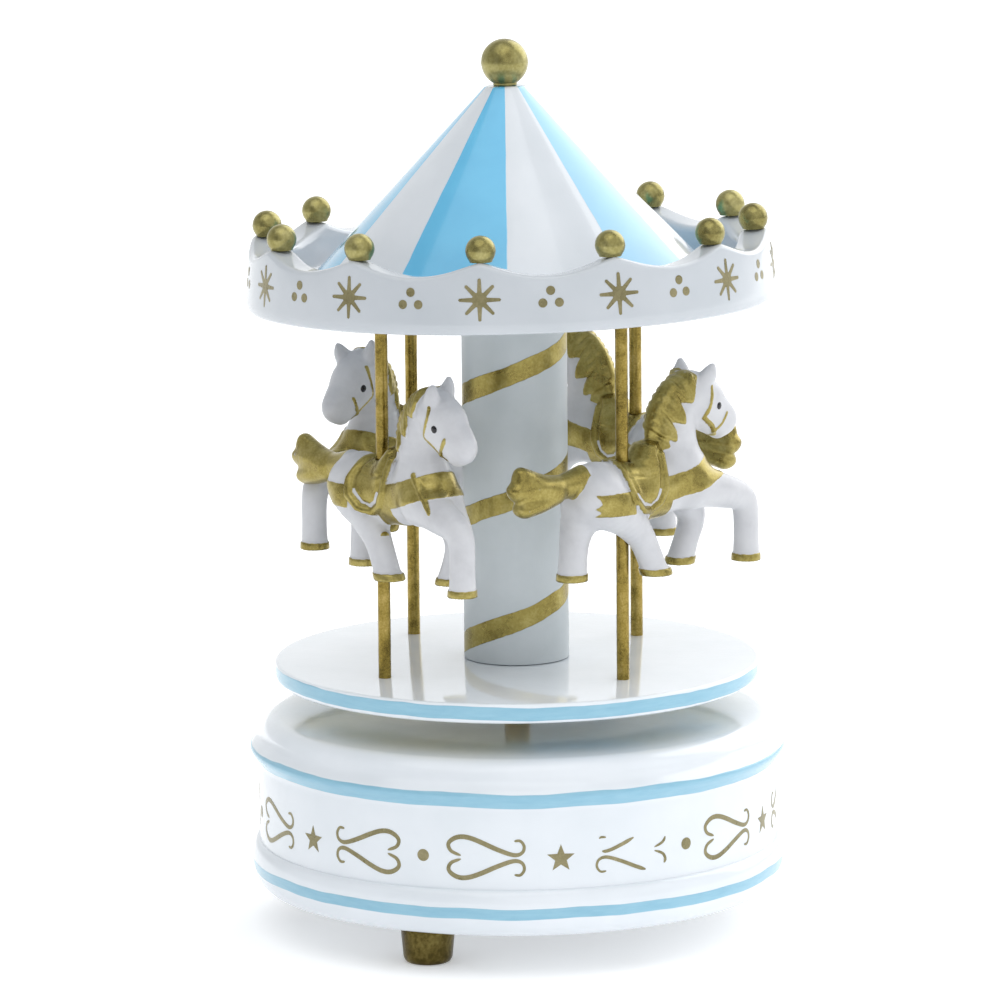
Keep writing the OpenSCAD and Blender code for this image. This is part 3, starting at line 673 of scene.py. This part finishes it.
def spline(points, u):
    """Catmull-Rom through rows of points, at u from 0 to their number less one."""
    i = min(int(u), len(points) - 2)
    t = u - i
    p0, p1, p2, p3 = (points[min(max(i + k, 0), len(points) - 1)] for k in (-1, 0, 1, 2))
    square, cube = 2 * p0 - 5 * p1 + 4 * p2 - p3, 3 * p1 - p0 - 3 * p2 + p3
    return 0.5 * (2 * p1 + (p2 - p0) * t + square * t**2 + cube * t**3)


def wrap(parts, shape, r_at, deg, z, thick=0.05):
    """Lays a flat shape on a round wall, whose radius is r_at(height), as a thin closed plate."""
    co, faces = shape
    flat = bmesh.new()
    for x, y in co:
        flat.verts.new((x, y, 0))
    flat.verts.ensure_lookup_table()
    for f in faces:
        flat.faces.new([flat.verts[i] for i in f])
    bmesh.ops.triangulate(flat, faces=flat.faces)
    made = bmesh.ops.extrude_face_region(flat, geom=flat.faces[:] + flat.edges[:] + flat.verts[:])
    for v in made["geom"]:
        if isinstance(v, bmesh.types.BMVert):
            v.co.z += 1
    flat.verts.index_update()
    a0 = math.radians(deg)
    out = []
    for v in flat.verts:
        r = r_at(z + v.co.y)
        a, rr = a0 + v.co.x / r, r + thick * (2 * v.co.z - 1)
        out.append((rr * math.sin(a), -rr * math.cos(a), z + v.co.y))
    parts.add(np.array(out), [tuple(v.index for v in f.verts) for f in flat.faces])
    flat.free()


SCROLL = [(2.1, 3.35), (0.95, 3.4), (0.2, 2.4), (0.4, 1.25), (1.4, 0.62), (2.9, 0.75), (5.7, 1.8), (8.6, 3.1),
          (11, 3.95), (12.9, 4.05), (14.4, 3.4), (15.1, 2.4), (14.5, 1.15), (12.6, 0.35)]
SCROLL_WIDTHS = (0.5, 0.55, 0.6, 0.65, 0.8, 0.9, 0.95, 0.95, 0.95, 0.9, 0.8, 0.7, 0.55)
# What is left of the worn pair of strokes, as fractions of the upper (1) and the lower (-1).
WORN_SPANS = {1: [(0.0, 0.1), (0.3, 0.52), (0.86, 1.0)], -1: [(0.0, 0.6), (0.8, 1.0)]}


def build_prints(mats):
    mid = 24.4
    base = Parts()

    def wall_r(_):
        return WALL_R

    for turn in range(6):
        star_deg, dot_deg = 9 + 60 * turn, -21 + 60 * turn
        wrap(base, star_shape(5, 2.85, 1.2), wall_r, star_deg, mid - 0.3)
        wrap(base, disc_shape(1.2), wall_r, dot_deg, mid)
        for side in (-1, 1):
            # A scroll on each side of the dot, its small curls towards the star.
            start = dot_deg + side * (30 - math.degrees(7.0 / WALL_R))
            for flip in (1, -1):
                worn = turn == 1 and side == -1
                spans, thin = (WORN_SPANS[flip], 0.8) if worn else ([(0.0, 1.0)], 1.0)
                path = [(-side * x, flip * y) for x, y in SCROLL]
                widths = [w * thin for w in SCROLL_WIDTHS]
                for span in spans:
                    steps = max(8, int(60 * (span[1] - span[0])))
                    wrap(base, stroke_shape(path, widths, steps, span), wall_r, start, mid)
    make("base_print", base.co, base.faces, mats["print"], "base", sharp_deg=30)

    crown = Parts()
    for at in BALLS:
        deg = azimuth(at)
        z = CROWN_Z + 6.9
        wrap(crown, disc_shape(1.5), crown_r_at, deg, z)
        for ray in range(8):
            a = ray * TAU / 8
            out = np.array([math.cos(a), math.sin(a)])
            side = np.array([-out[1], out[0]])
            tip = 4.15 if ray % 2 == 0 else 3.95
            outline = [out * 0.6 + side * 0.5, out * 0.6 - side * 0.5, out * (tip - 0.2) - side * 0.3,
                       out * tip, out * (tip - 0.2) + side * 0.3]
            wrap(crown, ring_shape([tuple(p) for p in outline]), crown_r_at, deg, z, 0.052 + 0.002 * ray)
        for x, y in ((0, 1.45), (-1.6, -0.9), (1.6, -0.9)):
            wrap(crown, disc_shape(0.88, x, y), crown_r_at, deg + 15, z)
    make("crown_print", crown.co, crown.faces, mats["print"], "carousel", sharp_deg=30,
         place=CANOPY)


# ---------------------------------------------------------------- horses

# Chains of points (s, y, z, radius), then how much each is narrowed sideways and over how many mm it
# blends in: s is forward, y is lateral with the outer side at -y, z is upwards with the soles at
# SOLE_Z, and the pole is at s = y = 0.
TRUNK = [
    ([(-6.8, 0, 37.7, 6.3), (-1, 0, 37.2, 5.9), (6, 0, 37, 5.8), (12.5, 0, 38, 6.1), (15.8, 0, 38.5, 5.8)],
     1.15, 2.0),
    ([(-7.6, -2.0, 37.8, 4.7), (-4.5, -2.2, 35.4, 4.2)], 1.0, 2.0),
    ([(-7.6, 2.0, 37.8, 4.7), (-5.5, 2.2, 35.4, 4.2)], 1.0, 2.0),
    ([(14.2, -1.4, 40, 4.2), (16.2, -2.0, 36.8, 4.1)], 1.0, 2.0),
    ([(14.2, 1.4, 40, 4.2), (16.2, 2.0, 36.8, 4.1)], 1.0, 2.0),
    ([(13.4, 0, 42, 5.9), (13.3, 0, 48, 5.1), (14.6, 0, 52.6, 4.5), (16.6, 0, 55.4, 4.1)], 1.3, 2.4),
    ([(18.6, 0, 54.9, 4.4), (21.4, 0, 53.6, 4.2), (24.0, 0, 51.2, 3.5), (26.2, 0, 49.3, 3.0)], 1.1, 1.4),
    ([(25.6, 0, 50.9, 2.4), (27.6, 0, 49.0, 2.1), (27.2, 0, 47.7, 1.9), (25.2, 0, 47.1, 2.0)], 0.9, 0.6),
    ([(20.2, 0, 51.6, 3.9), (22.8, 0, 49.6, 3.2)], 1.0, 1.4),
    ([(16.6, -2.4, 36.8, 4.1), (23.4, -3, 35.2, 3.5), (28.3, -3.1, 33.5, 2.9), (30.0, -3.1, 30.8, 2.6),
      (30.2, -3.1, 25, 2.5), (30.1, -3.1, 20, 2.75)], 1.0, 1.6),
    ([(16.6, 2.4, 36.2, 3.9), (20.2, 2.9, 31.5, 3.1), (20.8, 3, 28.5, 2.7), (19.6, 3.1, 25, 2.5),
      (17.8, 3.1, 20.4, 2.8)], 1.0, 1.6),
    ([(-5, -2.4, 35.6, 4.6), (-1, -2.9, 32, 3.6), (2.2, -3.1, 28.3, 2.8), (4.2, -3.1, 24.6, 2.6),
      (5.6, -3.1, 21.4, 2.7), (6.4, -3.1, 20.4, 2.8)], 1.0, 2.0),
    ([(-7.5, 2.4, 36.6, 4.6), (-8.9, 2.9, 32, 3.6), (-10.1, 3, 27, 2.9), (-10.6, 3, 20.4, 2.95)], 1.0, 2.0),
    ([(5.2, 0, 41.4, 3.2), (6.2, 0, 44.6, 2.0)], 0.75, 1.6),
]
EARS = [
    ([(19.6, -2.2, 57.0, 2.3), (20.6, -2.9, 58.8, 1.7), (21.2, -3.1, 60.2, 0.8)], 1.5, 0.6),
    ([(18.0, 2.2, 57.4, 2.2), (18.2, 2.8, 59.4, 1.6), (18.2, 3.0, 60.9, 0.8)], 1.5, 0.6),
]
TAIL = [
    ([(-10.4, 0, 40.8, 3.1), (-14.5, 0, 40.2, 2.6), (-19.0, 0, 39.8, 2.4)], 1.1, 0.5),
    ([(-18.5, 0, 40.2, 2.3), (-22.5, 0, 41.3, 2.5), (-26.2, 0, 43.0, 2.0)], 0.95, 1.2),
    ([(-18.5, 0, 39.6, 2.3), (-23, 0, 39.7, 2.7), (-27.0, 0, 40.2, 2.1)], 0.95, 0.9),
    ([(-18.2, 0, 39.1, 2.3), (-22, 0, 38.0, 2.6), (-25.2, 0, 37.0, 2.2)], 0.95, 1.2),
]
CREST = [
    ([(8.2, 0, 46.8, 1.2), (8.0, 0, 49.8, 1.5), (9.6, 0, 53.4, 1.6), (12.6, 0, 56.5, 1.6),
      (16.4, 0, 57.9, 1.4)], 1.2, 0.5),
]
HOOF_Z, SOLE_Z = 21.9, 20.4
FAR = 3.0  # distances from the horse's shapes are worked out up to here
HEADINGS = (40.4, 133.4, 236.0, -53.0)  # of horses 1 to 4, in degrees
# Side views (s, z) of what is raised and painted gold: outlines, and lines for the locks of the mane,
# the saddle's rim, the bar on the breast band and the bridle.
MANE = [(6.4, 48.4), (6.3, 51), (8.4, 55), (12, 58.4), (16.8, 60), (17.8, 58.9), (16.2, 56.4), (15.4, 53.6),
        (12.7, 54.0), (13.5, 52.0), (13.3, 49.6), (10.6, 50.3), (11.3, 48.4), (10.9, 46.3), (8.2, 47.5)]
LOCKS = [((15.8, 59), (15.4, 54.2)), ((14, 58.2), (14.8, 54.2)), ((12.2, 57.2), (13.9, 54.4)),
         ((11.2, 56.2), (13.3, 50.3)), ((10, 55), (12.5, 50.4)), ((9, 53.6), (11.6, 50.8)),
         ((8.4, 52.6), (10.9, 47)), ((7.8, 51.2), (10, 47.2)), ((7.3, 49.6), (8.9, 47.8))]
RIM = [(-2.8, 43.6), (-3.1, 40), (-2.2, 36.8), (0.3, 34.4), (3.2, 33.7), (5.6, 35.2), (6.9, 38.2),
       (7.2, 41.5), (7.5, 44.4)]
SADDLE = RIM + [(9.6, 45.6), (9.4, 48), (-2.6, 48)]
BREAST = [(6.2, 34.4), (15, 36.4), (20, 38.2), (27, 39.8), (27, 44.4), (20, 43.4), (17, 42.3), (12, 40.7),
          (6.6, 39.5)]
REAR = [(-10.8, 33.9), (-9.8, 34.9), (-11.2, 35.6), (-10.2, 36.6), (-11.4, 38.5), (-2.4, 38.6), (-2.4, 34.0)]
GIRTH = [(3.0, 35), (9, 36), (9.4, 33), (9, 29), (4.8, 29), (4.2, 32.5)]
BAR = [(16.6, 42.8), (19, 40.4), (24, 36.4)]
BRIDLE = [[(20.6, 56.4), (20.4, 54.4), (19.6, 52.2), (18.6, 50.4), (21.4, 48.4), (23.2, 46.2)],
          [(22.4, 47.0), (23.8, 48.6), (25.0, 50.6)]]
EYE = (22.4, 52.4)


def rods(points, flat, p, n=4):
    """Distance to a smooth tapering tube through the points, narrowed sideways by flat."""
    points = np.array(points, float)
    line = np.array([spline(points, u) for u in np.linspace(0, len(points) - 1, n * (len(points) - 1) + 1)])
    scale = np.array([1, flat, 1])
    q = p * scale
    best = np.full(len(p), 1e3)
    for a, b in zip(line[:-1], line[1:]):
        start, way = a[:3] * scale, (b[:3] - a[:3]) * scale
        t = np.clip((q - start) @ way / max(way @ way, 1e-9), 0, 1)
        off = np.linalg.norm(q - start - t[:, None] * way, axis=1)
        best = np.minimum(best, off - (a[3] + t * (b[3] - a[3])))
    return best


def merge(d, shapes, p):
    """Adds shapes (points, flat, k) to the distances d of the points p, each blended over k mm."""
    for points, flat, k in shapes:
        pts = np.array(points, float)
        pad = pts[:, 3:].max() / min(flat, 1) + FAR + k
        near = np.all((p > pts[:, :3].min(0) - pad) & (p < pts[:, :3].max(0) + pad), axis=1)
        a, b = d[near], rods(points, flat, p[near])
        h = np.clip(0.5 + 0.5 * (a - b) / k, 0, 1)
        d[near] = a + (b - a) * h - k * h * (1 - h)
    return d


def to_path(s, z, path):
    """Distance in side view to a line of points, and how far along it is the nearest point, 0 to 1."""
    best, along = np.full(len(s), 1e3), np.zeros(len(s))
    for i, (a, b) in enumerate(zip(path[:-1], path[1:])):
        ws, wz = b[0] - a[0], b[1] - a[1]
        t = np.clip(((s - a[0]) * ws + (z - a[1]) * wz) / (ws * ws + wz * wz), 0, 1)
        d = np.hypot(s - a[0] - t * ws, z - a[1] - t * wz)
        near = d < best
        best, along = np.where(near, d, best), np.where(near, (i + t) / (len(path) - 1), along)
    return best, along


def region(s, z, outline):
    """Signed distance in side view to a closed outline, negative inside."""
    closed = list(outline) + [outline[0]]
    d, _ = to_path(s, z, closed)
    inside = np.zeros(len(s), bool)
    for a, b in zip(closed[:-1], closed[1:]):
        if a[1] != b[1]:
            crosses = (a[1] > z) != (b[1] > z)
            inside ^= crosses & (s < (b[0] - a[0]) * (z - a[1]) / (b[1] - a[1]) + a[0])
    return np.where(inside, -d, d)


def smooth(x):
    x = np.clip(x, 0, 1)
    return x * x * (3 - 2 * x)


def lock_fields(s, z):
    """The mane in side view: the relief of its locks, and the signed distance to its jagged outline."""
    outline = region(s, z, MANE)
    ridges = np.zeros(len(s))
    for a, b in LOCKS:
        d, t = to_path(s, z, [a, b])
        ridges = np.maximum(ridges, np.sqrt(np.clip(1 - (d / (0.85 - 0.2 * t)) ** 2, 0, 1)))
    return smooth(0.5 - outline / 0.5) * (0.25 + 0.65 * ridges), outline


def saddle_fields(s, z):
    """Signed distances of the saddle: its outline, its rim and the bare crescent inside the rim."""
    outline = region(s, z, SADDLE)
    rim, _ = to_path(s, z, RIM)
    crescent = np.maximum(np.abs(rim - 1.2) - 0.3, np.maximum(outline, z - 38))
    return outline, rim, crescent


def bar_off(p):
    """Distance in side view to the bar across the breast band, on the outer side only."""
    return to_path(p[:, 0], p[:, 2], BAR)[0] + 9 * (p[:, 1] > 0)


def figure(p, bar):
    """Distance from each point to the horse's surface, with its reliefs and, if asked, the bar."""
    d = merge(np.full(len(p), FAR), TRUNK + EARS, p)
    d = merge(d, TAIL + CREST, p)
    near = np.abs(d) < 1.6
    s, _, z = p[near].T
    lift = np.zeros(len(s))
    for outline, height in ((BREAST, 0.22), (REAR, 0.2), (GIRTH, 0.2)):
        lift = np.maximum(lift, height * smooth(0.5 - region(s, z, outline) / 0.4))
    outline, rim, _ = saddle_fields(s, z)
    lift = np.maximum(lift, 0.4 * smooth(0.5 - outline / 0.5))
    panel = smooth(0.5 - (outline + 1.6) / 0.4) * smooth(0.5 - (1.5 - rim) / 0.4)
    lift = np.maximum(lift, 0.4 + 0.3 * panel) * (outline < 0.3) + lift * (outline >= 0.3)
    bead = 0.35 + 0.6 * np.sqrt(np.clip(1 - (rim / 0.75) ** 2, 0, 1))
    lift = np.maximum(lift, (outline < 1.2) * bead * (rim < 0.75))
    skirt = to_path(s, z, [(-2.2, 41.2), (2.5, 40.6), (6.6, 41.4)])[0]
    lift -= 0.22 * np.clip(1 - skirt / 0.35, 0, 1)
    if bar:
        lift += 0.4 * np.sqrt(np.clip(1 - (bar_off(p[near]) / 0.6) ** 2, 0, 1))
    locks, _ = lock_fields(s, z)
    lift = np.maximum(lift, locks)
    for line in BRIDLE:
        lift += 0.22 * np.sqrt(np.clip(1 - (to_path(s, z, line)[0] / 0.42) ** 2, 0, 1))
    lift += 0.25 * smooth(0.5 - (z - HOOF_Z) / 0.5) * (z < 24)
    lift += 0.25 * np.sqrt(np.clip(1 - (np.hypot(s - EYE[0], z - EYE[1]) / 0.8) ** 2, 0, 1))
    # The tail's strands fan out towards its end.
    strands = np.sin((z - 40) / (1 + 0.045 * (-s - 14)) * 2.2) * smooth((-s - 17) / 7) * 0.22
    d[near] -= lift + strands
    d = np.maximum(d, SOLE_Z - p[:, 2])
    return np.maximum(d, 1.62 - np.hypot(p[:, 0], p[:, 1]))


def trim(p, bar):
    """Signed distance to the gold parts of the horse, negative where it is gold."""
    s, _, z = p.T
    gold_d = np.minimum(z - HOOF_Z, merge(np.full(len(p), FAR), TAIL, p) - 0.32)
    gold_d = np.where(s > -10.5, np.minimum(z - HOOF_Z, FAR), gold_d)
    crest = merge(np.full(len(p), FAR), CREST, p)
    gold_d = np.minimum(gold_d, np.minimum(crest - 0.7, lock_fields(s, z)[1]))
    for outline in (BREAST, REAR, GIRTH):
        gold_d = np.minimum(gold_d, region(s, z, outline))
    outline, rim, crescent = saddle_fields(s, z)
    gold_d = np.minimum(gold_d, np.minimum(outline, np.where(z < 45, rim - 0.75, FAR)))
    gold_d = np.maximum(gold_d, -crescent)
    for line in BRIDLE:
        gold_d = np.minimum(gold_d, to_path(s, z, line)[0] - 0.42)
    return np.minimum(gold_d, bar_off(p) - 0.5) if bar else gold_d


def surface_net(f, start, step):
    """Points and quads of the zero surface of the samples f."""
    inside = f < 0
    cells = np.array(f.shape) - 1
    count = np.zeros(cells, int)
    for corner in np.ndindex(2, 2, 2):
        count += inside[tuple(slice(c, c + n) for c, n in zip(corner, cells))]
    live = np.argwhere((count > 0) & (count < 8))
    index = np.full(cells, -1)
    index[tuple(live.T)] = np.arange(len(live))
    total, hits = np.zeros((len(live), 3)), np.zeros((len(live), 1))
    for axis in range(3):
        one = np.eye(3, dtype=int)[axis]
        for corner in np.ndindex(2, 2, 2):
            if corner[axis]:
                continue
            a, b = f[tuple((live + corner).T)], f[tuple((live + corner + one).T)]
            cut = ((a < 0) != (b < 0))[:, None]
            t = (a / np.where(a == b, 1, a - b))[:, None]
            total += np.where(cut, np.array(corner) + t * one, 0)
            hits += cut
    points = (live + total / hits) * step + start
    quads = []
    for axis in range(3):
        one, e1, e2 = (np.eye(3, dtype=int)[(axis + k) % 3] for k in range(3))
        low_part = inside[tuple(slice(0, -1) if k == axis else slice(None) for k in range(3))]
        high_part = inside[tuple(slice(1, None) if k == axis else slice(None) for k in range(3))]
        for mine, order in ((low_part & ~high_part, (0, 1, 2, 3)), (~low_part & high_part, (3, 2, 1, 0))):
            c = np.argwhere(mine)
            c = c[np.all(c >= e1 + e2, axis=1) & np.all(c < cells, axis=1)]
            ring = [index[tuple((c - m).T)] for m in (e1 + e2, e2, 0 * e1, e1)]
            quads.append(np.stack([ring[k] for k in order], 1))
    return points, np.vstack(quads)


def sculpt_horse(step, bar):
    start = np.array([-31.5, -8.5, 19.6])
    shape = np.ceil((np.array([35.5, 8.5, 64]) - start) / step).astype(int)
    axes = [start[k] + np.arange(shape[k]) * step for k in range(3)]
    grid = np.stack(np.meshgrid(*axes, indexing="ij"), -1).reshape(-1, 3)
    points, quads = surface_net(figure(grid, bar).reshape(shape), start, step)
    for _ in range(2):
        f, h = figure(points, bar), 0.05
        pairs = [figure(points + h * e, bar) - figure(points - h * e, bar) for e in np.eye(3)]
        slope = np.stack(pairs, 1) / (2 * h)
        size = np.maximum((slope**2).sum(1), 0.25)[:, None]
        points -= np.clip(f, -0.3, 0.3)[:, None] * slope / size * 0.8
    return points, quads


def build_horses(mats):
    plain, barred = (sculpt_horse(0.34, bar) for bar in (False, True))
    for k in range(1, 5):
        node, (points, quads) = f"horse_{k}", plain if k == 1 else barred
        eye = np.hypot(points[:, 0] - EYE[0], points[:, 2] - EYE[1]) - 0.75
        marks = {"trim": trim(points, k > 1), "eye": eye}
        mesh = bpy.data.meshes.new(f"{node}_figure")
        mesh.vertices.add(len(points))
        mesh.loops.add(quads.size)
        mesh.polygons.add(len(quads))
        x, y, _ = centre(f"pole_{k}")
        turn = Matrix.Rotation(math.radians(HEADINGS[k - 1]), 3, "Z")
        placed = points @ np.array(turn).T + np.array([x, y, low(node).z - SOLE_Z])
        mesh.vertices.foreach_set("co", (placed * MM).ravel())
        mesh.loops.foreach_set("vertex_index", quads.ravel().astype(np.int32))
        mesh.polygons.foreach_set("loop_start", np.arange(0, quads.size, 4, dtype=np.int32))
        for name, values in marks.items():
            mesh.attributes.new(name, "FLOAT", "POINT").data.foreach_set("value", values.astype(np.float32))
        mesh.update(calc_edges=True)
        mesh.validate()
        piece(mesh.name, mesh, mats["horse"], "carousel", [node], sharp_deg=0)


# ---------------------------------------------------------------- everything


def finish_cad_nodes(mats):
    """Materials of the CAD nodes that stay."""
    groups = {
        "brass": ("great_gear", "cylinder_drum", "cylinder_pinion", "cylinder_gear", "governor_wheel",
                  "shaft_bushing", "drive_shaft"),
        "zinc": ("movement_bedplate", "spring_housing", "cylinder_inner_bearing", "cylinder_outer_bearing",
                 "governor_frame"),
        "steel": ("cylinder_shaft", "governor_arbor", "governor_worm", "movement_screws", "comb_screws",
                  "plate_screws", "turntable_nut", "comb", "mainspring"),
        "cover": ("base_plate",),
        "nylon": ("air_brake",),
    }
    for finish, nodes in groups.items():
        for node in nodes:
            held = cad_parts[node].data.materials
            held.clear()
            held.append(mats[finish])


# Blue paint: bands as heights (z0, z1), and sectors of the roof (from azimuth, to azimuth, how strong).
BASE_BANDS = [(12.4, 14.6), (34.4, 37.5)]
CROWN_BANDS = [(0, 1)]  # far below the crown, so it has none
TABLE_BANDS = [(TABLE_LOW + 0.9, TABLE_Z - 0.55)]
# The stripes at 0.75 and 0.9 are set fainter as painted sheen, for the reflection that pales those sides.
ROOF_STRIPES = [(-35.6, -1, 1), (37.5, 66, 0.75), (110, 142, 1), (186, 218, 1), (262, 291, 0.9)]


def main():
    stage_and_camera()
    mats = {
        # The whites are set apart by lift: the base's +5 and the table's +10 are painted light, the crown's
        # -28 is painted shade.
        "base": banded_white("base_white_painted_light_and_shade", BASE_BANDS, lift=5, dim=(5, 12, 0.4)),
        "table": banded_white("table_white_painted_light", TABLE_BANDS, lift=10, gloss=0.05, beneath=LIT_BEIGE),
        "crown": banded_white("crown_white_painted_shade", CROWN_BANDS, lift=-28),
        "roof": striped("roof_stripes_painted_sheen", ROOF_STRIPES),
        "column": spiral_column("column_white", pitch=25.0, width=4.2, first=11.0),
        "horse": horse_paint("horse_paint"),
        "gold_cast": gold("gold_cast", tones=CAST),
        "gold_foot": gold("gold_foot", size=2.2, depth=0.05, tones=FOOT_GOLD_SHADED),
        "rod": gold("gold_rod", size=1.0, depth=0.05, tones=ROD_GOLD),
        "print": gold("gold_print", size=1.2, depth=0.01, tones=KHAKI, metallic=0.3),
        "brass": metal("movement_brass", (150, 118, 52), (204, 170, 92), 0.26),
        "zinc": metal("movement_zinc", (122, 124, 126), (170, 172, 174), 0.38, 3.5),
        "steel": metal("machined_steel", (120, 122, 126), (178, 180, 184), 0.22, 0.8, (1, 1, 4)),
        "nylon": metal("moulded_nylon", (196, 198, 196), (222, 224, 222), 0.45, 2.0, metallic=0.0),
        "cover": metal("cover_plastic", (206, 210, 214), (226, 229, 232), 0.4, 6.0, metallic=0.0),
    }
    build_base(mats)
    build_table(mats)
    build_canopy(mats)
    build_prints(mats)
    build_horses(mats)
    finish_cad_nodes(mats)


main()
